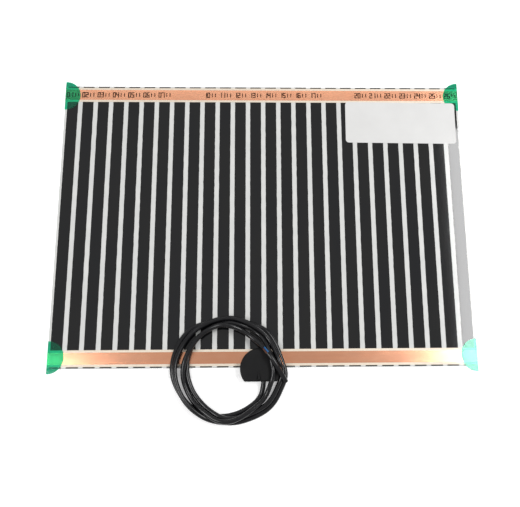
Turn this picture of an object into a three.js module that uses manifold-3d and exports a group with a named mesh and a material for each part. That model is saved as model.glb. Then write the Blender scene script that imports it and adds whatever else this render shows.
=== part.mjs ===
// Self-adhesive heating mat for the back of a mirror: a clear film with printed carbon
// stripes between two copper busbars, a terminal housing and a coiled cord.
// Millimetres, +Z up. The mat lies face up, +X runs along the row of stripes, and the
// terminal housing is at the -Y edge. The origin is at the bottom centre of the mat.

import * as THREE from 'three';
import { mergeVertices } from 'three/addons/utils/BufferGeometryUtils.js';
import Module from 'manifold-3d';

// Printed pattern
const stripeCount = 26;
const stripePitch = 14;
const stripeWidth = 10;
const busbarWidth = 10;
const silverWidth = 14;
const stripeEndReach = 1; // how far a stripe shows beyond the silver band
const seriesGap = 4; // parts the two halves of the lower busbar, under the housing

// Film and printed layers
const filmWidth = 274;
const clearMargin = 8.5; // from the stripe ends to the long cut edges
const filmThickness = 0.4;
const carbonThickness = 0.05;
const silverThickness = 0.05;
const copperThickness = 0.1;

// Round insulating tapes, folded over the cut ends of the busbars
const tapeDiameter = 27.5;
const tapeThickness = 0.1;
const tapeInset = 1; // from the middle of the silver band towards the stripes

// Sticker
const stickerLength = 102;
const stickerHeight = 39.5;
const stickerCorner = 3;
const stickerThickness = 0.1;
const stickerFromEnd = 4; // to the short edge of the film
const stickerFromBand = 0.6; // to the silver band above it

// Terminal housing
const housingRadius = 17.2;
const housingFront = 10.5; // from the centre of the round back to the flat front
const housingHeight = 8;
const housingCorner = 1.5;
const housingChamfer = 1.2;
const housingOverhang = 3.6; // beyond the long edge of the film
const housingOffset = -3; // from the middle of the film
const ridgeLength = 9;
const ridgeRadius = 1.8;
const ridgeOffset = -1.6; // from the middle of the housing

// Cord, about one metre in four loose turns, with its cut end on top
const cordDiameter = 4.2;
const coreDiameter = 1.5;
const coilLayers = 2;
const coilOuterX = 48.6;
const coilOuterY = 45;
const coilInnerX = 30.4;
const coilInnerY = 36.4;
const coilRounding = 1.8;
const coilCentreX = -31.2;
const coilCentreY = -130.5;
const bridgeInnerX = 35.4; // inner side of the turns that run across the housing
const bridgeRamp = 20; // over which they come down on each side of it

// Clearance between neighbours that are cut or turned
const gap = 0.3;

// Places that follow from the sizes above
const filmLength = stripeCount * stripePitch;
const stripeLength = filmWidth - 2 * clearMargin;
const bandY = stripeLength / 2 - stripeEndReach - silverWidth / 2;
const carbonZ = filmThickness;
const silverZ = carbonZ + carbonThickness;
const copperZ = silverZ + silverThickness;
const topZ = copperZ + copperThickness;
const frontY = -filmWidth / 2 - housingOverhang;
const housingY = frontY + housingFront;
const housingTopZ = topZ + housingHeight;
const coilBottomZ = topZ + gap;
const coilTopZ = topZ + coilLayers * cordDiameter;
const bridgeBottomZ = housingTopZ + gap;
const bridgeTopZ = bridgeBottomZ + cordDiameter;
const originShiftY = housingOverhang / 2;
const tapeY = bandY - tapeInset;
const tapePlaces = [[1, tapeY], [1, -tapeY], [-1, tapeY], [-1, -tapeY]];

const wasm = await Module();
wasm.setup();

const finish = {
  film: { color: 0xe4e5e2, roughness: 0.15, metalness: 0 },
  carbon: { color: 0x2b2c2e, roughness: 0.35, metalness: 0 },
  silver: { color: 0xe9ddca, roughness: 0.3, metalness: 0.4 },
  copper: { color: 0xd98f6c, roughness: 0.28, metalness: 1 },
  tape: { color: 0x2fc48a, roughness: 0.2, metalness: 0 },
  sticker: { color: 0xf5f5f3, roughness: 0.55, metalness: 0 },
  housing: { color: 0x17181a, roughness: 0.5, metalness: 0 },
  sheath: { color: 0x141517, roughness: 0.3, metalness: 0 },
  blue: { color: 0x2474c8, roughness: 0.35, metalness: 0 },
  brown: { color: 0x5a3a2a, roughness: 0.35, metalness: 0 },
};

const object = new THREE.Group();
const mat = new THREE.Group();
mat.position.y = originShiftY;
object.add(mat);

function addPiece(name, geometry, look, x = 0, y = 0, z = 0) {
  const mesh = new THREE.Mesh(geometry, new THREE.MeshStandardMaterial(finish[look]));
  mesh.name = name;
  mesh.position.set(x, y, z);
  mat.add(mesh);
  return mesh;
}

// A flat strip whose underside is at z = 0
function strip(length, width, thickness) {
  return new THREE.BoxGeometry(length, width, thickness).translate(0, 0, thickness / 2);
}

// A flat outline raised to a thickness, with its underside at z = 0
function plate(shape, thickness, curveSegments = 12) {
  return new THREE.ExtrudeGeometry(shape, { depth: thickness, bevelEnabled: false, curveSegments });
}

function solidOf(geometry) {
  const bare = geometry.clone();
  bare.deleteAttribute('normal');
  bare.deleteAttribute('uv');
  const merged = mergeVertices(bare);
  return new wasm.Manifold(new wasm.Mesh({
    numProp: 3,
    vertProperties: new Float32Array(merged.attributes.position.array),
    triVerts: new Uint32Array(merged.index.array),
  }));
}

function geometryOf(solid) {
  const mesh = solid.getMesh();
  const geometry = new THREE.BufferGeometry();
  geometry.setAttribute('position', new THREE.BufferAttribute(mesh.vertProperties, 3));
  geometry.setIndex(new THREE.BufferAttribute(mesh.triVerts, 1));
  geometry.computeVertexNormals();
  return geometry;
}

// The turn in degrees that faces a tape inwards from the right or the left edge
function tapeTurn(side) {
  return side > 0 ? 0 : 180;
}

// A box given by its lowest and highest corners
function boxBetween(low, high) {
  const size = high.map((value, axis) => value - low[axis]);
  const middle = high.map((value, axis) => (value + low[axis]) / 2);
  return new THREE.BoxGeometry(...size).translate(...middle);
}

// The film with the carbon print, the silver print and the copper foil, in this order
function addFilm() {
  let film = solidOf(strip(filmLength, filmWidth, filmThickness));
  for (const [side, y] of tapePlaces) {
    const x = (side * filmLength) / 2;
    film = film.subtract(solidOf(tapeRecess()).rotate([0, 0, tapeTurn(side)]).translate([x, y, 0]));
  }
  addPiece('heating_film', geometryOf(film), 'film');
  for (let i = 0; i < stripeCount; i += 1) {
    const x = (i - (stripeCount - 1) / 2) * stripePitch;
    const name = `carbon_stripe_${String(i + 1).padStart(2, '0')}`;
    addPiece(name, strip(stripeWidth, stripeLength, carbonThickness), 'carbon', x, 0, carbonZ);
  }
  const halfLength = (filmLength - seriesGap) / 2;
  const halfX = (filmLength + seriesGap) / 4;
  const runs = [
    { side: 'top', length: filmLength, x: 0, y: bandY },
    { side: 'bottom_left', length: halfLength, x: -halfX, y: -bandY },
    { side: 'bottom_right', length: halfLength, x: halfX, y: -bandY },
  ];
  for (const { side, length, x, y } of runs) {
    addPiece(`silver_band_${side}`, strip(length, silverWidth, silverThickness), 'silver', x, y, silverZ);
    addPiece(`copper_busbar_${side}`, strip(length, busbarWidth, copperThickness), 'copper', x, y, copperZ);
  }
}

// Half a disc whose straight side reaches past the edge of the film, which is at x = 0
function halfDisc(radius, past) {
  const shape = new THREE.Shape();
  shape.moveTo(past, -radius);
  shape.lineTo(past, radius);
  shape.lineTo(0, radius);
  shape.absarc(0, 0, radius, Math.PI / 2, (Math.PI * 3) / 2, false);
  return shape;
}

// The adhesive underside of the film is left out where a tape's lower leaf lies
function tapeRecess() {
  const below = 1;
  const recess = plate(halfDisc(tapeDiameter / 2 + gap, below), tapeThickness + below, 16);
  return recess.translate(0, 0, -below);
}

// One round tape folded in half over a short edge: a leaf above, a leaf below and the fold
function foldedTape() {
  const radius = tapeDiameter / 2;
  const lower = solidOf(plate(halfDisc(radius, tapeThickness), tapeThickness, 16));
  const upper = lower.translate([0, 0, topZ]);
  const fold = solidOf(boxBetween([0, -radius, 0], [tapeThickness, radius, topZ + tapeThickness]));
  return geometryOf(lower.add(upper).add(fold));
}

function addTapes() {
  for (const [side, y] of tapePlaces) {
    const name = `edge_tape_${y > 0 ? 'top' : 'bottom'}_${side > 0 ? 'right' : 'left'}`;
    const tape = addPiece(name, foldedTape(), 'tape', (side * filmLength) / 2, y, 0);
    tape.rotation.z = THREE.MathUtils.degToRad(tapeTurn(side));
  }
}

function roundedRectangle(width, height, radius) {
  const [x, y] = [width / 2, height / 2];
  const shape = new THREE.Shape();
  shape.moveTo(-x + radius, -y);
  shape.lineTo(x - radius, -y);
  shape.absarc(x - radius, -y + radius, radius, -Math.PI / 2, 0, false);
  shape.lineTo(x, y - radius);
  shape.absarc(x - radius, y - radius, radius, 0, Math.PI / 2, false);
  shape.lineTo(-x + radius, y);
  shape.absarc(-x + radius, y - radius, radius, Math.PI / 2, Math.PI, false);
  shape.lineTo(-x, -y + radius);
  shape.absarc(-x + radius, -y + radius, radius, Math.PI, Math.PI * 1.5, false);
  return shape;
}

// The bare sticker lies over the upper leaf of the tape in its corner
function addSticker() {
  const x = filmLength / 2 - stickerFromEnd - stickerLength / 2;
  const y = bandY - silverWidth / 2 - stickerFromBand - stickerHeight / 2;
  const shape = roundedRectangle(stickerLength, stickerHeight, stickerCorner);
  addPiece('sticker', plate(shape, stickerThickness, 5), 'sticker', x, y, topZ + tapeThickness);
}

// Outline of the housing: a disc cut straight at the front, with rounded corners there
function housingOutline(grow) {
  const radius = housingRadius + grow;
  const front = housingFront + grow;
  const half = Math.sqrt(radius * radius - front * front);
  const start = -Math.asin(front / radius) + housingCorner / radius;
  const [startX, startY] = [radius * Math.cos(start), radius * Math.sin(start)];
  const shape = new THREE.Shape();
  shape.moveTo(-half + housingCorner, -front);
  shape.lineTo(half - housingCorner, -front);
  shape.quadraticCurveTo(half, -front, startX, startY);
  shape.absarc(0, 0, radius, start, Math.PI - start, false);
  shape.quadraticCurveTo(-half, -front, -half + housingCorner, -front);
  return shape;
}

// The housing sits on the busbar and reaches down past the edge of the film
function addHousing() {
  const shell = new THREE.ExtrudeGeometry(housingOutline(-housingChamfer), {
    depth: housingHeight,
    curveSegments: 20,
    bevelThickness: housingChamfer,
    bevelSize: housingChamfer,
    bevelSegments: 3,
  }).translate(0, 0, -housingChamfer);
  const reach = 2 * housingRadius;
  const below = boxBetween([-reach, -reach, -reach], [reach, reach, 0]);
  const edgeY = -filmWidth / 2 - gap - housingY;
  const pastEdge = boxBetween([-reach, -reach, -reach], [reach, edgeY, reach]);
  const lip = solidOf(plate(housingOutline(0), topZ + housingChamfer, 20).translate(0, 0, -topZ));
  const ridge = new THREE.ConeGeometry(ridgeRadius, ridgeLength, 16)
    .translate(ridgeOffset, ridgeLength / 2 - housingFront + housingChamfer, housingHeight);
  const solid = solidOf(shell)
    .subtract(solidOf(below))
    .add(lip.intersect(solidOf(pastEdge)))
    .add(solidOf(ridge));
  addPiece('terminal_housing', geometryOf(solid), 'housing', housingOffset, housingY, topZ);
}

// The coil seen from above, a ring a little wider than deep
function coilOutline(inset) {
  const ring = new THREE.Shape();
  ring.absellipse(0, 0, coilOuterX - inset, coilOuterY - inset, 0, 2 * Math.PI, false, 0);
  const hole = new THREE.Path();
  hole.absellipse(0, 0, coilInnerX + inset, coilInnerY + inset, 0, 2 * Math.PI, true, 0);
  ring.holes.push(hole);
  return ring;
}

// The outer shape of the loose turns: a rounded ring on the film and past its edge,
// cut clear of the housing, with the turns that run across the housing on top of it
function addCoil() {
  const turns = new THREE.ExtrudeGeometry(coilOutline(coilRounding), {
    depth: coilTopZ - coilBottomZ - 2 * coilRounding,
    curveSegments: 28,
    bevelThickness: coilRounding,
    bevelSize: coilRounding,
    bevelSegments: 3,
  }).translate(coilCentreX, coilCentreY, coilBottomZ + coilRounding);

  const room = plate(housingOutline(gap), housingTopZ + gap, 20)
    .translate(housingOffset, housingY, 0);

  const backY = housingY + housingRadius;
  const lowZ = coilTopZ - cordDiameter;
  const profile = new THREE.Shape();
  profile.moveTo(frontY - bridgeRamp, lowZ);
  profile.lineTo(frontY - gap, lowZ);
  profile.lineTo(frontY - gap, bridgeBottomZ);
  profile.lineTo(backY + gap, bridgeBottomZ);
  profile.lineTo(backY + gap, lowZ);
  profile.lineTo(backY + bridgeRamp, lowZ);
  profile.lineTo(backY + bridgeRamp, coilTopZ);
  profile.lineTo(backY, bridgeTopZ);
  profile.lineTo(frontY, bridgeTopZ);
  profile.lineTo(frontY - bridgeRamp, coilTopZ);
  const turnYZ = new THREE.Matrix4().makeBasis(
    new THREE.Vector3(0, 1, 0),
    new THREE.Vector3(0, 0, 1),
    new THREE.Vector3(1, 0, 0),
  );
  const across = plate(profile, coilOuterX)
    .applyMatrix4(turnYZ)
    .translate(coilCentreX + bridgeInnerX, 0, 0);
  const within = plate(coilOutline(0), bridgeTopZ + gap, 28).translate(coilCentreX, coilCentreY, 0);
  const bridge = solidOf(across).intersect(solidOf(within));

  const solid = solidOf(turns).subtract(solidOf(room)).add(bridge);
  addPiece('cord_coil', geometryOf(solid), 'sheath');
}

// A round tube along a smooth curve through points given about the middle of the coil
function tubeAlong(points, diameter, sides, steps) {
  const section = new THREE.Shape();
  for (let i = 0; i < sides; i += 1) {
    const angle = (2 * Math.PI * i) / sides;
    const [x, y] = [(diameter / 2) * Math.cos(angle), (diameter / 2) * Math.sin(angle)];
    if (i === 0) section.moveTo(x, y);
    else section.lineTo(x, y);
  }
  const places = points.map(([x, y, z]) => new THREE.Vector3(coilCentreX + x, coilCentreY + y, z));
  const extrudePath = new THREE.CatmullRomCurve3(places);
  return new THREE.ExtrudeGeometry(section, { extrudePath, steps });
}

// The last stretch lies on top of the turns and crosses them outwards. Near its end the
// sheath is cut round and pushed a little along, which bares the two cores.
function addCordEnd() {
  const onCoilZ = coilTopZ + gap + cordDiameter / 2;
  const onBridgeZ = bridgeTopZ + gap + cordDiameter / 2;
  const lift = onBridgeZ - onCoilZ;
  const sheathEnd = [30.6, 18.9, onCoilZ + 0.85 * lift];
  const slugStart = [34.2, 14.9, onBridgeZ];
  const upToCut = [
    [-8.9, 37, onCoilZ],
    [0, 37.2, onCoilZ],
    [6, 35.6, onCoilZ + 0.1 * lift],
    [13.2, 32, onCoilZ + 0.3 * lift],
    [20.2, 27.4, onCoilZ + 0.5 * lift],
    [26.2, 22.8, onCoilZ + 0.7 * lift],
    sheathEnd,
  ];
  const slug = [
    slugStart,
    [39, 8.5, onBridgeZ],
    [44, 0.4, onBridgeZ],
    [49, -10, onBridgeZ],
  ];
  addPiece('cord_end', tubeAlong(upToCut, cordDiameter, 10, 5), 'sheath');
  addPiece('sheath_slug', tubeAlong(slug, cordDiameter, 10, 4), 'sheath');

  const from = new THREE.Vector3(...sheathEnd);
  const to = new THREE.Vector3(...slugStart);
  const along = to.clone().sub(from).normalize();
  const across = new THREE.Vector3(-along.y, along.x, 0).normalize();
  const bare = from.distanceTo(to) - 2 * gap;
  const middle = from.clone().add(to).multiplyScalar(0.5);
  for (const [name, side] of [['blue', 1], ['brown', -1]]) {
    const place = middle.clone().addScaledVector(across, (side * (coreDiameter + gap)) / 2);
    const rod = new THREE.CylinderGeometry(coreDiameter / 2, coreDiameter / 2, bare, 10);
    const core = addPiece(`core_${name}`, rod, name);
    core.position.set(coilCentreX + place.x, coilCentreY + place.y, place.z);
    core.quaternion.setFromUnitVectors(new THREE.Vector3(0, 1, 0), along);
  }
}

addFilm();
addTapes();
addSticker();
addHousing();
addCoil();
addCordEnd();

export default object;
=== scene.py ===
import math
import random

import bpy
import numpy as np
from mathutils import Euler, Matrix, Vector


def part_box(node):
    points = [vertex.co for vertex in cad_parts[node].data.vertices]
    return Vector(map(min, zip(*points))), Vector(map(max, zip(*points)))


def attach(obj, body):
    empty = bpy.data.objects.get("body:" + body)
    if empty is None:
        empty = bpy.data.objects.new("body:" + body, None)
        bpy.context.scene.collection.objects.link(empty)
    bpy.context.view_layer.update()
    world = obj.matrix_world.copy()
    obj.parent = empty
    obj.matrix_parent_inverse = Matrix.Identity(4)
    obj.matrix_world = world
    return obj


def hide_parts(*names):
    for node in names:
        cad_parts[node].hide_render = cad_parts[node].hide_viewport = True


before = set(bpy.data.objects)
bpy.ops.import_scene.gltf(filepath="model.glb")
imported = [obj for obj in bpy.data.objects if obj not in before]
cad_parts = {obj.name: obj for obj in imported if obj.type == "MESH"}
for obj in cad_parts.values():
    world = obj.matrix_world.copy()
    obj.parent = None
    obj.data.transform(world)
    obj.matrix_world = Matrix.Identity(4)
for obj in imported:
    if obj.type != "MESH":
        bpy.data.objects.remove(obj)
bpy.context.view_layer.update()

# Self-adhesive heating mat for the back of a mirror: the finish of the printed film, the
# busbars, tapes and sticker, the terminal housing, and the coiled cord at its real length.
# Metres, +Z up, in the row's own frame. Sizes below are millimetres on the film, with
# x and y from the middle of the film and z from the floor, unless a line says otherwise.

MM = 0.001

FILM_LOW, FILM_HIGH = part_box("heating_film")
FILM_MIDDLE = (FILM_LOW + FILM_HIGH) / 2
COPPER_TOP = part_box("copper_busbar_top")[1].z / MM
RIDGE_RADIUS = 1.8
HOUSING_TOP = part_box("terminal_housing")[1].z / MM - RIDGE_RADIUS
STRIPE_COUNT = sum(name.startswith("carbon_stripe_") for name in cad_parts)

# Terminal housing
HOUSING_FILLET = 1.3
HOUSING_CORNER = 1.6
HOUSING_FOOT = 0.1  # small bevel at its foot
TOP_INSET = 2.0  # of the flat top's outer ring, from the fillet
PARTING_HEIGHT = 2.2  # above the copper
PARTING_DEPTH = 0.12
RIDGE_PLACE = -1.6  # from the middle of the housing
RIDGE_FRONT = 1.4  # from the flat front
RIDGE_SINK = 0.15  # its axis lies this much under the top
RIDGE_LENGTH = 9.0

# Floor and softboxes, in metres
FLOOR_SIZE = 6.0
FLOOR_GAP = 0.02  # under the mat, in millimetres
SOFTBOX_HEIGHT = 1.0
SOFTBOXES = (  # name, low corner, high corner, radiance
    ("softbox_right", (0.475, -0.15), (0.92, 0.53), 11.8),
    ("softbox_left", (-0.95, -0.50), (-0.45, -0.09), 10.5),
    ("softbox_back", (-0.95, 0.69), (0.40, 0.95), 1.7),
)
WORLD_STRENGTH = 0.45

# Camera, matched to the photograph's perspective
IMAGE_WIDTH_PX = 520
FOCAL_PX = 650
SENSOR = 36.0
CENTRE_OFFSET_PX = (18.12, -2.19)
CAMERA_TILT = (13.05, -1.533, -0.159)  # degrees about x, y and z
CAMERA_PLACE = (-2.99, -157.25, 556.94)

# Cord, about one metre in four loose turns
CORD_DIAMETER = 4.2
SHEATH_SIDES = 16
CORE_DIAMETER = 1.5
CORE_SIDES = 12
CORE_SPREAD = 0.52  # of a core's diameter, from the middle of the cord
CORE_TURN = 150.0  # degrees about the cord, at the first cut
CORE_TWIST = 50.0  # degrees from one cut to the other
CORE_STEP = 0.4
COIL_MIDDLE = (-31.2, -130.5)
EXIT_HEIGHT = 4.0
EXIT_X = 30.8  # from the middle of the coil
EXIT_REACH = 3.0  # inside the housing
START_ANGLE = -19.0  # from +x, as seen from the middle of the coil
TURN_ANGLES = (0, 17, 45, 90, 135, 180, 225, 270, 315)  # clockwise from +x, seen from above
TURN_RADII = (  # 0 while the cord is still in the housing
    (0, 0, 36.3, 38.4, 42.4, 46.0, 46.0, 40.5, 46.0),
    (48.6, 48.0, 46.6, 43.2, 42.9, 43.8, 42.8, 42.5, 43.4),
    (45.5, 45.1, 43.8, 40.2, 33.8, 33.9, 36.5, 39.4, 39.8),
    (38.6, 38.4, 39.3, 42.6, 38.2, 36.5, 36.0),
)
LAST_STRETCH = (
    (-8.9, 36.4), (-0.2, 36.8), (6.3, 35.4), (13.0, 32.0), (20.2, 27.1),
    (26.8, 21.6), (32.4, 15.6), (38.2, 7.6), (43.8, -0.9), (49.0, -10.4),
)
SLUG_LENGTH = 29.8
BARE_LENGTH = 5.0
ROUTE_STEP = 2.4
MESH_STEP = 1.2

# How the turns settle: the cord starts above the mat and sinks by a small step at a time
SETTLE_STEPS = 330
SAG_STEP = 0.058
START_RISE = 16.0  # how much higher the far end starts
HELD_LENGTH = 10.0  # held by the housing
NEIGHBOUR_LENGTH = 2.5 * CORD_DIAMETER  # closer along the cord, points don't push each other
RETURN_SHARE = 0.3  # of the way back to the route, at each step
PUSH_ROUNDS = 3
TURN_SPACING = CORD_DIAMETER * 1.01
SHOULDER = 2.0  # around the housing, over which the cord climbs on it
SMOOTH_ROUNDS = 5
STIFF_LENGTH = 44.0  # the cut end, which lies straight on the turns
STIFF_LIFT = 0.1
STIFF_ROUNDS = 8
STIFF_BLEND = 6  # points before the stiff end that bend with it


def place(x, y, z=0.0):
    """A point in metres, from millimetres on the film."""
    return Vector((FILM_MIDDLE.x + x * MM, FILM_MIDDLE.y + y * MM, z * MM))


def add_camera():
    data = bpy.data.cameras.new("camera")
    data.sensor_fit = "HORIZONTAL"
    data.sensor_width = SENSOR
    data.lens = SENSOR * FOCAL_PX / IMAGE_WIDTH_PX
    data.shift_x = -CENTRE_OFFSET_PX[0] / IMAGE_WIDTH_PX
    data.shift_y = CENTRE_OFFSET_PX[1] / IMAGE_WIDTH_PX
    data.clip_start = 0.01
    camera = bpy.data.objects.new("camera", data)
    bpy.context.scene.collection.objects.link(camera)
    camera.rotation_mode = "YXZ"
    camera.rotation_euler = Euler([math.radians(angle) for angle in CAMERA_TILT], "YXZ")
    camera.location = place(*CAMERA_PLACE)
    bpy.context.scene.camera = camera


class Shader:
    """A material's node tree with short calls for the nodes used here."""

    def __init__(self, name):
        self.material = bpy.data.materials.new(name)
        self.material.use_nodes = True
        self.tree = self.material.node_tree
        self.surface = self.tree.nodes["Principled BSDF"]
        self.output = self.tree.nodes["Material Output"]

    def node(self, kind, **inputs):
        node = self.tree.nodes.new(kind)
        for socket, value in inputs.items():
            self.set(node, socket.replace("_", " "), value)
        return node

    def set(self, node, socket, value):
        if isinstance(value, bpy.types.NodeSocket):
            self.tree.links.new(value, node.inputs[socket])
        else:
            node.inputs[socket].default_value = value

    def base(self, **inputs):
        for socket, value in inputs.items():
            self.set(self.surface, socket.replace("_", " "), value)

    def coordinates(self, scale=(1, 1, 1)):
        """Object coordinates in metres, stretched by a scale on each axis."""
        source = self.node("ShaderNodeTexCoord").outputs["Object"]
        mapping = self.node("ShaderNodeMapping", Vector=source, Scale=scale)
        return mapping.outputs["Vector"]

    def noise(self, size, detail=3.0, stretch=(1, 1, 1)):
        """Noise whose features are about size millimetres wide."""
        node = self.node("ShaderNodeTexNoise", Vector=self.coordinates(stretch))
        node.inputs["Scale"].default_value = 1 / (size * MM)
        node.inputs["Detail"].default_value = detail
        return node.outputs["Fac"]

    def math(self, operation, first, second=0.0):
        node = self.tree.nodes.new("ShaderNodeMath")
        node.operation = operation
        for slot, value in enumerate((first, second)):
            if isinstance(value, bpy.types.NodeSocket):
                self.tree.links.new(value, node.inputs[slot])
            else:
                node.inputs[slot].default_value = value
        return node.outputs[0]

    def between(self, value, low, high, out_low, out_high):
        node = self.node("ShaderNodeMapRange", Value=value)
        node.inputs["From Min"].default_value = low
        node.inputs["From Max"].default_value = high
        node.inputs["To Min"].default_value = out_low
        node.inputs["To Max"].default_value = out_high
        return node.outputs["Result"]

    def ramp(self, value, *stops):
        node = self.node("ShaderNodeValToRGB", Fac=value)
        elements = node.color_ramp.elements
        while len(elements) < len(stops):
            elements.new(0.5)
        for element, (position, colour) in zip(elements, stops):
            element.position = position
            element.color = (*colour, 1.0)
        return node.outputs["Color"]

    def bump(self, height, distance, normal=None):
        """A bump whose full height is distance millimetres."""
        node = self.node("ShaderNodeBump", Height=height)
        node.inputs["Distance"].default_value = distance * MM
        if normal is not None:
            self.tree.links.new(normal, node.inputs["Normal"])
        return node.outputs["Normal"]


def film_waves(shader):
    """The slow waves of a thin laminate, and the slight orange peel of its surface."""
    slow = shader.bump(shader.noise(70, detail=1.0), 0.12)
    return shader.bump(shader.noise(3.0, detail=2.0), 0.004, slow)


def carbon_look():
    shader = Shader("printed_carbon")
    tone = shader.ramp(
        shader.noise(28, detail=4.0, stretch=(1, 0.35, 1)),
        (0.35, (0.0045, 0.0049, 0.0062)),
        (0.65, (0.0068, 0.0068, 0.0068)),
    )
    shader.base(
        Base_Color=tone,
        Roughness=shader.between(shader.noise(1.2), 0.3, 0.7, 0.42, 0.6),
        Normal=shader.bump(shader.noise(0.35, detail=5.0), 0.02),
        Specular_IOR_Level=0.0,
        Coat_Weight=1.0,
        Coat_IOR=1.54,
        Coat_Roughness=0.05,
        Coat_Normal=film_waves(shader),
    )
    return shader.material


def film_look():
    """Pale grey and opaque where the print is, as painted shade for the shaded floor seen between the
    stripes, and clear margins where only the film is left.
    """
    shader = Shader("polyester_film")
    split = shader.node("ShaderNodeSeparateXYZ", Vector=shader.coordinates())
    y = shader.math("ABSOLUTE", shader.math("SUBTRACT", split.outputs["Y"], FILM_MIDDLE.y))
    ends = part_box("carbon_stripe_01")
    edge = (ends[1].y - ends[0].y) / 2
    wobble = shader.math("MULTIPLY", shader.noise(9, detail=1.0), 0.6 * MM)
    # Opaque where the print is, so its pale grey shows there as painted shade; nearly clear at the
    # margins.
    painted_shade_area = shader.between(
        shader.math("ADD", y, wobble), edge, edge + 1.2 * MM, 1.0, 0.06,
    )
    # Pale grey with a random tone: painted shade standing for the shaded floor between the stripes.
    tone = shader.ramp(
        shader.noise(16, detail=5.0),
        (0.3, (0.55, 0.555, 0.545)),
        (0.7, (0.61, 0.61, 0.595)),
    )
    shader.base(
        Base_Color=tone,
        Roughness=shader.between(shader.noise(2.5), 0.3, 0.7, 0.08, 0.16),
        Alpha=painted_shade_area,
        Normal=film_waves(shader),
    )
    return shader.material


def silver_look():
    shader = Shader("silver_print")
    tone = shader.ramp(
        shader.noise(1.0, detail=4.0),
        (0.3, (0.65, 0.56, 0.45)),
        (0.7, (0.73, 0.64, 0.53)),
    )
    shader.base(
        Base_Color=tone,
        Metallic=0.25,
        Roughness=0.5,
        Normal=shader.bump(shader.noise(0.4, detail=3.0), 0.015),
        Coat_Weight=1.0,
        Coat_Roughness=0.08,
        Coat_Normal=film_waves(shader),
    )
    return shader.material


def copper_look():
    """Rolled foil: fine lines along it and a slight waviness across its length."""
    shader = Shader("copper_foil")
    tone = shader.ramp(
        shader.noise(5, detail=3.0, stretch=(0.4, 1, 1)),
        (0.3, (0.97, 0.39, 0.185)),
        (0.7, (0.99, 0.43, 0.22)),
    )
    waves = shader.bump(shader.noise(26, detail=1.0, stretch=(1, 0.3, 1)), 0.03)
    lines = shader.bump(shader.noise(0.3, detail=2.0, stretch=(0.02, 1, 1)), 0.001, waves)
    shader.base(
        Base_Color=tone,
        Metallic=1.0,
        Roughness=shader.between(shader.noise(1.5, stretch=(0.1, 1, 1)), 0.3, 0.7, 0.18, 0.22),
        Normal=lines,
        Coat_Weight=1.0,
        Coat_IOR=1.85,
        Coat_Roughness=0.25,
    )
    return shader.material


def tape_look():
    """Clear green polyester: it tints what is behind it, and its face is glossy."""
    shader = Shader("green_tape")
    tree = shader.tree
    tree.nodes.remove(shader.surface)
    clear = shader.node("ShaderNodeBsdfTransparent", Color=(0.34, 0.94, 0.80, 1.0))
    gloss = shader.node(
        "ShaderNodeBsdfGlossy",
        Color=(1.0, 1.0, 1.0, 1.0),
        Roughness=shader.between(shader.noise(2.0), 0.3, 0.7, 0.04, 0.08),
        Normal=shader.bump(shader.noise(6, detail=2.0), 0.02),
    )
    body = shader.node("ShaderNodeBsdfDiffuse", Color=(0.01, 0.42, 0.22, 1.0), Roughness=0.5)
    film = shader.node("ShaderNodeMixShader", Fac=0.07)
    tree.links.new(clear.outputs["BSDF"], film.inputs[1])
    tree.links.new(body.outputs["BSDF"], film.inputs[2])
    fresnel = shader.node("ShaderNodeFresnel", IOR=1.45)
    mix = shader.node("ShaderNodeMixShader", Fac=fresnel.outputs["Fac"])
    tree.links.new(film.outputs["Shader"], mix.inputs[1])
    tree.links.new(gloss.outputs["BSDF"], mix.inputs[2])
    tree.links.new(mix.outputs["Shader"], shader.output.inputs["Surface"])
    return shader.material


def sticker_look():
    shader = Shader("white_sticker")
    tone = shader.ramp(
        shader.noise(20, detail=3.0),
        (0.3, (0.570, 0.567, 0.560)),
        (0.7, (0.600, 0.597, 0.590)),
    )
    shader.base(
        Base_Color=tone,
        Roughness=shader.between(shader.noise(1.5), 0.3, 0.7, 0.38, 0.5),
        Normal=shader.bump(shader.noise(0.5, detail=4.0), 0.01),
    )
    return shader.material


def ink_look(name, dark, light):
    shader = Shader(name)
    tone = shader.ramp(shader.noise(0.8, detail=2.0), (0.3, dark), (0.7, light))
    shader.base(
        Base_Color=tone,
        Roughness=0.6,
        Specular_IOR_Level=0.05,
        Normal=shader.bump(shader.noise(0.2, detail=2.0), 0.005),
    )
    return shader.material


def moulded_look():
    """Black moulded plastic with a fine spark-eroded grain."""
    shader = Shader("moulded_black")
    tone = shader.ramp(
        shader.noise(6, detail=4.0),
        (0.3, (0.0055, 0.0055, 0.0060)),
        (0.7, (0.0080, 0.0080, 0.0082)),
    )
    shader.base(
        Base_Color=tone,
        Roughness=shader.between(shader.noise(0.6), 0.3, 0.7, 0.42, 0.55),
        Specular_IOR_Level=0.15,
        Normal=shader.bump(shader.noise(0.25, detail=4.0), 0.012),
    )
    return shader.material


def rubber_look(name, dark, light, roughness):
    """Extruded insulation: smooth, with faint flow marks."""
    shader = Shader(name)
    tone = shader.ramp(shader.noise(4, detail=3.0), (0.3, dark), (0.7, light))
    shader.base(
        Base_Color=tone,
        Roughness=shader.between(shader.noise(14), 0.3, 0.7, roughness, roughness + 0.04),
        Specular_IOR_Level=0.36,
        Normal=shader.bump(shader.noise(5, detail=1.0), 0.002),
    )
    return shader.material


def floor_look():
    shader = Shader("pale_floor")
    tone = shader.ramp(
        shader.noise(120, detail=2.0),
        (0.3, (0.955, 0.955, 0.955)),
        (0.7, (0.97, 0.97, 0.97)),
    )
    shader.base(
        Base_Color=tone,
        Roughness=0.9,
        Specular_IOR_Level=0.0,
        Emission_Color=(1.0, 1.0, 1.0, 1.0),
        Emission_Strength=0.3,
    )
    return shader.material


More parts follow.
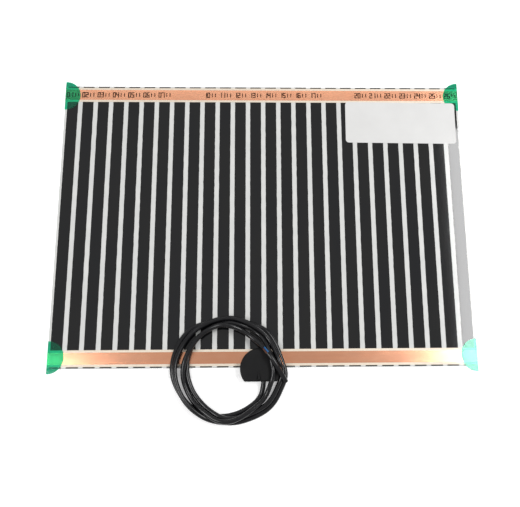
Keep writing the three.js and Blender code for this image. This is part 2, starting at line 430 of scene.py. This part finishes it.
def add_piece(name, vertices, faces, material, sharp=40.0):
    """A mesh from points in metres that rides on the part's one body."""
    mesh = bpy.data.meshes.new(name)
    mesh.from_pydata([tuple(v) for v in vertices], [], faces)
    mesh.validate()
    mesh.shade_smooth()
    mesh.set_sharp_from_angle(angle=math.radians(sharp))
    mesh.materials.append(material)
    piece = bpy.data.objects.new(name, mesh)
    bpy.context.scene.collection.objects.link(piece)
    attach(piece, "root")
    return piece


def tube_faces(rings, sides):
    """Quads between rings of points that follow each other in one list, and both caps."""
    faces = [
        (
            k * sides + i,
            k * sides + (i + 1) % sides,
            (k + 1) * sides + (i + 1) % sides,
            (k + 1) * sides + i,
        )
        for k in range(rings - 1)
        for i in range(sides)
    ]
    faces.append(tuple(reversed(range(sides))))
    faces.append(tuple(range((rings - 1) * sides, rings * sides)))
    return faces


def smooth_path(points, step):
    """A Catmull-Rom curve through the points, in equal steps."""
    points = np.asarray(points, float)
    ends = np.vstack([2 * points[0] - points[1], points, 2 * points[-1] - points[-2]])
    fine = []
    for a, b, c, d in zip(ends, ends[1:], ends[2:], ends[3:]):
        for t in np.linspace(0, 1, 24, endpoint=False):
            fine.append(
                0.5 * (2 * b + (c - a) * t + (2 * a - 5 * b + 4 * c - d) * t**2
                       + (3 * b - a - 3 * c + d) * t**3)
            )
    fine.append(points[-1])
    return even_steps(np.array(fine), step)


def lengths_along(path):
    return np.concatenate([[0], np.cumsum(np.linalg.norm(np.diff(path, axis=0), axis=1))])


def even_steps(path, step):
    along = lengths_along(path)
    stops = np.linspace(0, along[-1], max(2, int(round(along[-1] / step)) + 1))
    return np.column_stack([np.interp(stops, along, path[:, axis]) for axis in range(3)])


def tube_mesh(path, profile, sides):
    """Rings along a path. profile gives each ring's place on the path and its radius."""
    tangents = np.gradient(path, axis=0)
    tangents /= np.linalg.norm(tangents, axis=1)[:, None]
    normal = np.cross(tangents[0], (0, 0, 1.0))
    normal /= np.linalg.norm(normal)
    normals = []
    for tangent in tangents:
        normal = normal - tangent * normal.dot(tangent)
        normal /= np.linalg.norm(normal)
        normals.append(normal)
    vertices = []
    for index, shift, radius in profile:
        side = np.cross(tangents[index], normals[index])
        middle = path[index] + tangents[index] * shift
        for k in range(sides):
            angle = 2 * math.pi * k / sides
            vertices.append(
                middle + radius * (math.cos(angle) * normals[index] + math.sin(angle) * side)
            )
    return vertices, tube_faces(len(profile), sides)


def cut_end(index, radius, way):
    """Rings for a sheath that is cut square: a small rounded rim and a recess in it."""
    rim, wall, recess = 0.12, 0.75, 2.6
    return [
        (index, way * rim * 0.3, radius),
        (index, way * rim, radius - rim),
        (index, way * rim, radius - wall + rim),
        (index, 0.0, radius - wall),
        (index, -way * recess, radius - wall),
    ]


def coil_route():
    """The cord's line seen from above: out of the housing and clockwise, four turns."""
    start = math.radians(START_ANGLE)
    reach = EXIT_X / math.cos(start)
    points = [
        (EXIT_X, EXIT_X * math.tan(start) + EXIT_REACH),
        (reach * math.cos(start), reach * math.sin(start)),
    ]
    for radii in TURN_RADII:
        for angle, radius in zip(TURN_ANGLES, radii):
            if radius > 0:
                a = -math.radians(angle)
                points.append((radius * math.cos(a), radius * math.sin(a)))
    points.extend(LAST_STRETCH)
    return smooth_path([(x, y, 0) for x, y in points], ROUTE_STEP)


def ground_under(x, y):
    """The height of what lies under the cord: the film, or the housing where it crosses."""
    low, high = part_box("terminal_housing")
    radius = (high.x - low.x) / 2 / MM
    middle = ((low + high) / 2 - FILM_MIDDLE) / MM
    front = (low.y - FILM_MIDDLE.y) / MM
    round_y = (high.y - FILM_MIDDLE.y) / MM - radius
    inside = np.minimum(radius - np.hypot(x - middle.x, y - round_y), y - front)
    shoulder = np.clip((inside + SHOULDER) / SHOULDER, 0, 1)
    return COPPER_TOP + (HOUSING_TOP - COPPER_TOP) * shoulder


def settle(route):
    """Lets the turns come down on the film, the housing and each other, and lie there."""
    neighbours = int(NEIGHBOUR_LENGTH / ROUTE_STEP)
    radius = CORD_DIAMETER / 2
    fixed = int(HELD_LENGTH / ROUTE_STEP)
    points = route.copy()
    points[:, 2] = EXIT_HEIGHT + np.linspace(0, START_RISE, len(points))
    across = np.linalg.norm(route[:, None, :2] - route[None, :, :2], axis=2)
    one, other = np.nonzero(np.triu(across < 2 * CORD_DIAMETER, neighbours + 1))
    for _ in range(SETTLE_STEPS):
        points[fixed:, 2] -= SAG_STEP
        points[:, :2] += RETURN_SHARE * (route[:, :2] - points[:, :2])
        for _ in range(PUSH_ROUNDS):
            away = points[one] - points[other]
            distance = np.linalg.norm(away, axis=1) + 1e-9
            overlap = np.clip(TURN_SPACING - distance, 0, None)
            push = away * (0.5 * overlap / distance)[:, None]
            touching = (overlap > 0).astype(float)
            count = np.bincount(one, touching, len(points))
            count += np.bincount(other, touching, len(points))
            for axis in range(3):
                moved = np.bincount(one, push[:, axis], len(points))
                moved -= np.bincount(other, push[:, axis], len(points))
                points[:, axis] += moved / np.maximum(count, 1)
            x = COIL_MIDDLE[0] + points[:, 0]
            y = COIL_MIDDLE[1] + points[:, 1]
            points[fixed:, 2] = np.maximum(points[:, 2], ground_under(x, y) + radius)[fixed:]
        around = 0.5 * (points[:-2, 2] + points[2:, 2])
        points[1:-1, 2] += 0.5 * (around - points[1:-1, 2])
        points[:fixed, 2] = EXIT_HEIGHT
    return stiffen(points)


def stiffen(points):
    """Smooths the cord, and lays its cut end straight over the turns that bear it."""
    for _ in range(SMOOTH_ROUNDS):
        points[1:-1] = 0.25 * points[:-2] + 0.5 * points[1:-1] + 0.25 * points[2:]
    along = lengths_along(points)
    first = int(np.searchsorted(along, along[-1] - STIFF_LENGTH))
    hull = [first]
    for k in range(first + 1, len(points)):
        while len(hull) > 1:
            a, b = hull[-2], hull[-1]
            to_b = (points[b, 2] - points[a, 2]) / (along[b] - along[a])
            to_k = (points[k, 2] - points[a, 2]) / (along[k] - along[a])
            if to_k < to_b:
                break
            hull.pop()
        hull.append(k)
    points[first:, 2] = np.interp(along[first:], along[hull], points[hull, 2]) + STIFF_LIFT
    start = first - STIFF_BLEND
    for _ in range(STIFF_ROUNDS):
        around = 0.5 * (points[start - 1:-2, 2] + points[start + 1:, 2])
        points[start:-1, 2] = 0.5 * (points[start:-1, 2] + around)
    return points


def to_frame(points):
    """Points about the middle of the coil, in millimetres, as metres in the frame."""
    middle = np.array(place(*COIL_MIDDLE))
    return np.asarray(points) * MM + middle


def add_cord():
    """The free cord, with its sheath cut near the end and its two cores bare there."""
    line = settle(coil_route())
    line = smooth_path(line, MESH_STEP)
    along = lengths_along(line)
    slug_from = along[-1] - SLUG_LENGTH
    sheath_to = slug_from - BARE_LENGTH
    last = int(np.searchsorted(along, sheath_to))
    first = int(np.searchsorted(along, slug_from))
    path = to_frame(line)
    radius = CORD_DIAMETER / 2 * MM
    black = rubber_look("black_sheath", (0.005, 0.005, 0.006), (0.008, 0.008, 0.009), 0.2)

    body = [(k, 0.0, radius) for k in range(last)]
    tip = [(k, shift * MM, r * MM) for k, shift, r in cut_end(last, radius / MM, 1)]
    vertices, faces = tube_mesh(path[: last + 1], body + tip, SHEATH_SIDES)
    sheath = add_piece("cord_sheath", vertices, faces, black)
    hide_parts("cord_coil", "cord_end")

    slug_path = path[first:]
    count = len(slug_path)
    near = [(k, -shift * MM, r * MM) for k, shift, r in reversed(cut_end(0, radius / MM, 1))]
    far = [(k, shift * MM, r * MM) for k, shift, r in cut_end(count - 1, radius / MM, 1)]
    middle = [(k, 0.0, radius) for k in range(1, count - 1)]
    vertices, faces = tube_mesh(slug_path, near + middle + far, SHEATH_SIDES)
    slug = add_piece("cord_sheath_slug", vertices, faces, black)
    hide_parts("sheath_slug")

    cores = add_cores(path, last, first)


def add_cores(path, last, first):
    """The two insulated cores, which twist a little between the cut sheaths."""
    reach = 2
    span = path[last - reach: first + reach + 1]
    tangents = np.gradient(span, axis=0)
    tangents /= np.linalg.norm(tangents, axis=1)[:, None]
    looks = {
        "blue": ((0.010, 0.085, 0.24), (0.014, 0.11, 0.30)),
        "brown": ((0.075, 0.030, 0.016), (0.10, 0.040, 0.022)),
    }
    cores = []
    for number, (colour, (dark, light)) in enumerate(looks.items()):
        line = []
        for k, (point, tangent) in enumerate(zip(span, tangents)):
            across = np.cross(tangent, (0, 0, 1.0))
            across /= np.linalg.norm(across)
            upward = np.cross(across, tangent)
            turn = math.radians(CORE_TURN + CORE_TWIST * k / (len(span) - 1)) + math.pi * number
            offset = CORE_DIAMETER * CORE_SPREAD * MM
            line.append(point + offset * (math.cos(turn) * across + math.sin(turn) * upward))
        line = smooth_path(np.array(line), CORE_STEP * MM)
        profile = [(k, 0.0, CORE_DIAMETER / 2 * MM) for k in range(len(line))]
        vertices, faces = tube_mesh(line, profile, CORE_SIDES)
        material = rubber_look(f"{colour}_insulation", dark, light, 0.3)
        core = add_piece(f"core_{colour}_insulation", vertices, faces, material)
        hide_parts(f"core_{colour}")
        cores.append(core)
    return cores


def housing_outline(radius, front, corner, grow, count=96):
    """Points of a disc cut straight at the front, anticlockwise, about the disc's middle."""
    r, f = radius + grow, front + grow
    c = max(corner + grow, 0.2 * MM)
    inner = r - c
    start = math.asin((f - c) / inner)
    points = []
    for k in range(count + 1):
        angle = -start + (math.pi + 2 * start) * k / count
        points.append((r * math.cos(angle), r * math.sin(angle)))
    turn = math.pi / 2 - start
    steps = 8
    for side in (-1, 1):
        cx, cy = side * inner * math.cos(start), -inner * math.sin(start)
        for k in range(1, steps + 1):
            t = turn * k / steps
            angle = math.pi + start + t if side < 0 else 1.5 * math.pi + t
            if side > 0 and k == steps:
                continue
            points.append((cx + c * math.cos(angle), cy + c * math.sin(angle)))
    return points


def ridge_mesh(x, y, z, radius, length, start):
    """A ridge with a rounded nose at the front, tapering back. start is its first vertex."""
    sides, rows, nose = 24, 14, 0.35 * MM
    stops = [(0.0, 0.72), (0.3 * nose, 0.9), (nose, 1.0 - nose / length)]
    for k in range(1, rows + 1):
        t = nose + (length - nose) * k / rows
        stops.append((t, max(1 - t / length, 0.03)))
    vertices = []
    for along, share in stops:
        for k in range(sides):
            a = 2 * math.pi * k / sides
            r = radius * share
            vertices.append(Vector((x - r * math.cos(a), y + along, z + r * math.sin(a))))
    faces = tube_faces(len(stops), sides)
    return vertices, [tuple(start + v for v in face) for face in faces]


def add_housing():
    """The moulded housing: rounded edges, a parting line, and the ridge at its front."""
    low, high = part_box("terminal_housing")
    radius = (high.x - low.x) / 2
    middle = Vector(((low.x + high.x) / 2, high.y - radius, 0))
    front = middle.y - low.y
    height = HOUSING_TOP * MM
    fillet, groove, corner = HOUSING_FILLET * MM, PARTING_DEPTH * MM, HOUSING_CORNER * MM
    part_at = COPPER_TOP * MM + PARTING_HEIGHT * MM
    levels = [(COPPER_TOP * MM, -HOUSING_FOOT * MM), (COPPER_TOP * MM + HOUSING_FOOT * MM, 0.0)]
    levels += [(part_at - groove, 0.0), (part_at, -groove), (part_at + groove, 0.0)]
    arc = 8
    for k in range(arc + 1):
        angle = math.pi / 2 * k / arc
        levels.append((height - fillet + fillet * math.sin(angle), -fillet * (1 - math.cos(angle))))
    levels.append((height, -fillet - TOP_INSET * MM))
    vertices = []
    for z, grow in levels:
        ring = housing_outline(radius, front, corner, grow)
        vertices += [middle + Vector((x, y, z)) for x, y in ring]
    faces = tube_faces(len(levels), len(ring))
    more, more_faces = ridge_mesh(
        middle.x + RIDGE_PLACE * MM,
        low.y + RIDGE_FRONT * MM,
        height - RIDGE_SINK * MM,
        RIDGE_RADIUS * MM,
        RIDGE_LENGTH * MM,
        len(vertices),
    )
    vertices += more
    faces += more_faces
    material = moulded_look()
    housing = add_piece("housing_shell", vertices, faces, material, sharp=60)
    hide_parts("terminal_housing")


def add_stripes():
    """The carbon print, with the slightly uneven edges of paste pressed through a screen."""
    material = carbon_look()
    for number in range(1, STRIPE_COUNT + 1):
        node = f"carbon_stripe_{number:02d}"
        low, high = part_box(node)
        draw = random.Random(number)
        rows = 150
        edges = []
        for _ in range(2):
            # height, length and phase of each wave, in millimetres and radians
            waves = [
                (draw.uniform(0.01, 0.04), draw.uniform(2.5, 24.0), draw.uniform(0, 6.28))
                for _ in range(7)
            ]
            edges.append(waves)
        vertices = []
        for row in range(rows + 1):
            y = low.y + (high.y - low.y) * row / rows
            shift = [
                sum(a * math.sin(2 * math.pi * (y / MM) / span + phase) for a, span, phase in waves)
                for waves in edges
            ]
            left, right = low.x + shift[0] * MM, high.x + shift[1] * MM
            for x, z in ((left, low.z), (right, low.z), (right, high.z), (left, high.z)):
                vertices.append((x, y, z))
        faces = [tuple(reversed(face)) for face in tube_faces(rows + 1, 4)]
        stripe = add_piece(f"carbon_print_{number:02d}", vertices, faces, material)
        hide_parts(node)


def dress_nodes():
    """The pieces that keep the frame's own shape, each with its material."""
    looks = {
        "heating_film": film_look(),
        "silver_band": silver_look(),
        "copper_busbar": copper_look(),
        "edge_tape": tape_look(),
    }
    for name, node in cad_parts.items():
        for start, material in looks.items():
            if name.startswith(start):
                node.data.materials.clear()
                node.data.materials.append(material)


STICKER_TURN = -0.67  # degrees
STICKER_CORNER = 3.0
STICKER_THICKNESS = 0.1
STICKER_OVERLAP = 0.7  # how much further it reaches up to the silver print


def add_sticker():
    """A bare label, laid a little askew, whose corner lies over the tape."""
    low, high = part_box("sticker")
    high.y += STICKER_OVERLAP * MM
    middle = (low + high) / 2
    half = (high - low) / 2
    turn = math.radians(STICKER_TURN)
    columns, rows, corner = 68, 26, STICKER_CORNER * MM
    tape_low, tape_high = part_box("edge_tape_top_right")
    tape_middle = Vector((FILM_HIGH.x, (tape_low.y + tape_high.y) / 2, 0))
    tape_radius = (tape_high.y - tape_low.y) / 2
    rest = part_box("carbon_stripe_01")[1].z + 0.02 * MM

    def lift(x, y):
        inside = tape_radius - math.hypot(x - tape_middle.x, y - tape_middle.y)
        share = min(max(inside / (1.5 * MM) + 1, 0), 1)
        return rest + (tape_high.z + 0.02 * MM - rest) * share * share * (3 - 2 * share)

    def rounded(u, v):
        """A point of the square from -1 to 1 moved onto the rounded rectangle."""
        x, y = u * half.x, v * half.y
        over_x = abs(x) - (half.x - corner)
        if over_x > 0:
            room = half.y - corner + math.sqrt(max(corner**2 - over_x**2, 0))
            y = v * room
        return x, y

    us = [math.sin(math.pi / 2 * (2 * k / columns - 1)) for k in range(columns + 1)]
    vertices = []
    for raised in (0.0, STICKER_THICKNESS * MM):
        for u in us:
            for j in range(rows + 1):
                x, y = rounded(u, 2 * j / rows - 1)
                x, y = (
                    middle.x + x * math.cos(turn) - y * math.sin(turn),
                    middle.y + x * math.sin(turn) + y * math.cos(turn),
                )
                vertices.append((x, y, lift(x, y) + raised))
    layer = (columns + 1) * (rows + 1)

    def at(i, j, level):
        return level * layer + i * (rows + 1) + j

    faces = []
    for i in range(columns):
        for j in range(rows):
            faces.append((at(i, j, 1), at(i + 1, j, 1), at(i + 1, j + 1, 1), at(i, j + 1, 1)))
            faces.append((at(i, j, 0), at(i, j + 1, 0), at(i + 1, j + 1, 0), at(i + 1, j, 0)))
    rim = [(i, 0) for i in range(columns)] + [(columns, j) for j in range(rows)]
    rim += [(i, rows) for i in range(columns, 0, -1)] + [(0, j) for j in range(rows, 0, -1)]
    for a, b in zip(rim, rim[1:] + rim[:1]):
        faces.append((at(*a, 0), at(*b, 0), at(*b, 1), at(*a, 1)))
    sticker = add_piece("sticker_label", vertices, faces, sticker_look())
    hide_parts("sticker")


SEGMENTS = {
    "0": "abcdef", "1": "bc", "2": "abged", "3": "abgcd", "4": "fgbc",
    "5": "afgcd", "6": "afgedc", "7": "abc", "8": "abcdefg", "9": "abcdfg",
}
STROKES = {
    "a": ((0, 2), (1, 2)), "b": ((1, 2), (1, 1)), "c": ((1, 1), (1, 0)), "d": ((0, 0), (1, 0)),
    "e": ((0, 1), (0, 0)), "f": ((0, 2), (0, 1)), "g": ((0, 1), (1, 1)),
}
DIGIT_WIDTH = 1.9
DIGIT_HEIGHT = 4.4
DIGIT_ADVANCE = 3.0
DOT_DIAMETER = 0.95
NUMBER_START = -5.4  # from the middle of the stripe
TICK_START = 1.8
TICK_DOTS = 5
TICK_STEP = 0.75
NUMBERED = ((1, 7), (10, 17), (20, 26))  # first and last stripe of each run of numbers


def number_dots(text, x, y):
    """The middles of the ink dots of a number that starts at x and is centred on y."""
    dots = []
    for index, figure in enumerate(text):
        for stroke in SEGMENTS[figure]:
            (x0, y0), (x1, y1) = STROKES[stroke]
            steps = 3 if y0 == y1 else 4
            for k in range(steps + 1):
                t = k / steps
                dots.append((
                    x + index * DIGIT_ADVANCE + DIGIT_WIDTH * (x0 + (x1 - x0) * t),
                    y + DIGIT_HEIGHT * ((y0 + (y1 - y0) * t) / 2 - 0.5),
                ))
    return sorted({(round(a, 3), round(b, 3)) for a, b in dots})


def add_numbers():
    """Plain numbers that count the stripes, jetted in dots along the upper busbar."""
    low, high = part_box("copper_busbar_top")
    bar_y = ((low.y + high.y) / 2 - FILM_MIDDLE.y) / MM
    dots = []
    for first, final in NUMBERED:
        for number in range(first, final + 1):
            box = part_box(f"carbon_stripe_{number:02d}")
            x = ((box[0].x + box[1].x) / 2 - FILM_MIDDLE.x) / MM
            dots += number_dots(f"{number:02d}", x + NUMBER_START, bar_y)
            for tick in range(2):
                tick_x = x + TICK_START + tick * DIGIT_ADVANCE
                dots += [(tick_x, bar_y + TICK_STEP * (k - TICK_DOTS // 2)) for k in range(TICK_DOTS)]
    draw = random.Random(7)
    vertices, faces = [], []
    sides, thickness = 8, 0.02
    for x, y in dots:
        radius = DOT_DIAMETER / 2 * draw.uniform(0.88, 1.12)
        x, y = x + draw.uniform(-0.04, 0.04), y + draw.uniform(-0.05, 0.05)
        start = len(vertices)
        for z in (COPPER_TOP, COPPER_TOP + thickness):
            for k in range(sides):
                angle = 2 * math.pi * k / sides
                vertices.append(place(x + radius * math.cos(angle), y + radius * math.sin(angle), z))
        faces += [tuple(start + v for v in face) for face in tube_faces(2, sides)]
    ink = ink_look("brown_ink", (0.020, 0.008, 0.005), (0.040, 0.015, 0.009))
    add_piece("stripe_numbers", vertices, faces, ink)


def add_floor():
    half = FLOOR_SIZE / 2
    mesh = bpy.data.meshes.new("floor")
    mesh.from_pydata(
        [(-half, -half, 0), (half, -half, 0), (half, half, 0), (-half, half, 0)], [], [(0, 1, 2, 3)],
    )
    floor = bpy.data.objects.new("floor", mesh)
    bpy.context.scene.collection.objects.link(floor)
    mesh.materials.append(floor_look())
    floor.location.z = -FLOOR_GAP * MM


def add_softbox(name, low, high, radiance):
    """A level rectangular light between two corners in metres, facing down."""
    size = (high[0] - low[0], high[1] - low[1])
    data = bpy.data.lights.new(name, "AREA")
    data.shape = "RECTANGLE"
    data.size, data.size_y = size
    data.energy = radiance * math.pi * size[0] * size[1]
    light = bpy.data.objects.new(name, data)
    bpy.context.scene.collection.objects.link(light)
    light.location = ((low[0] + high[0]) / 2, (low[1] + high[1]) / 2, SOFTBOX_HEIGHT)


def add_light():
    scene = bpy.context.scene
    scene.view_settings.view_transform = "Standard"
    scene.view_settings.look = "None"
    world = bpy.data.worlds.new("studio")
    world.use_nodes = True
    background = world.node_tree.nodes["Background"]
    background.inputs["Color"].default_value = (1, 1, 1, 1)
    background.inputs["Strength"].default_value = WORLD_STRENGTH
    scene.world = world
    for softbox in SOFTBOXES:
        add_softbox(*softbox)


add_camera()
add_cord()
add_housing()
dress_nodes()
add_stripes()
add_sticker()
add_numbers()
add_floor()
add_light()
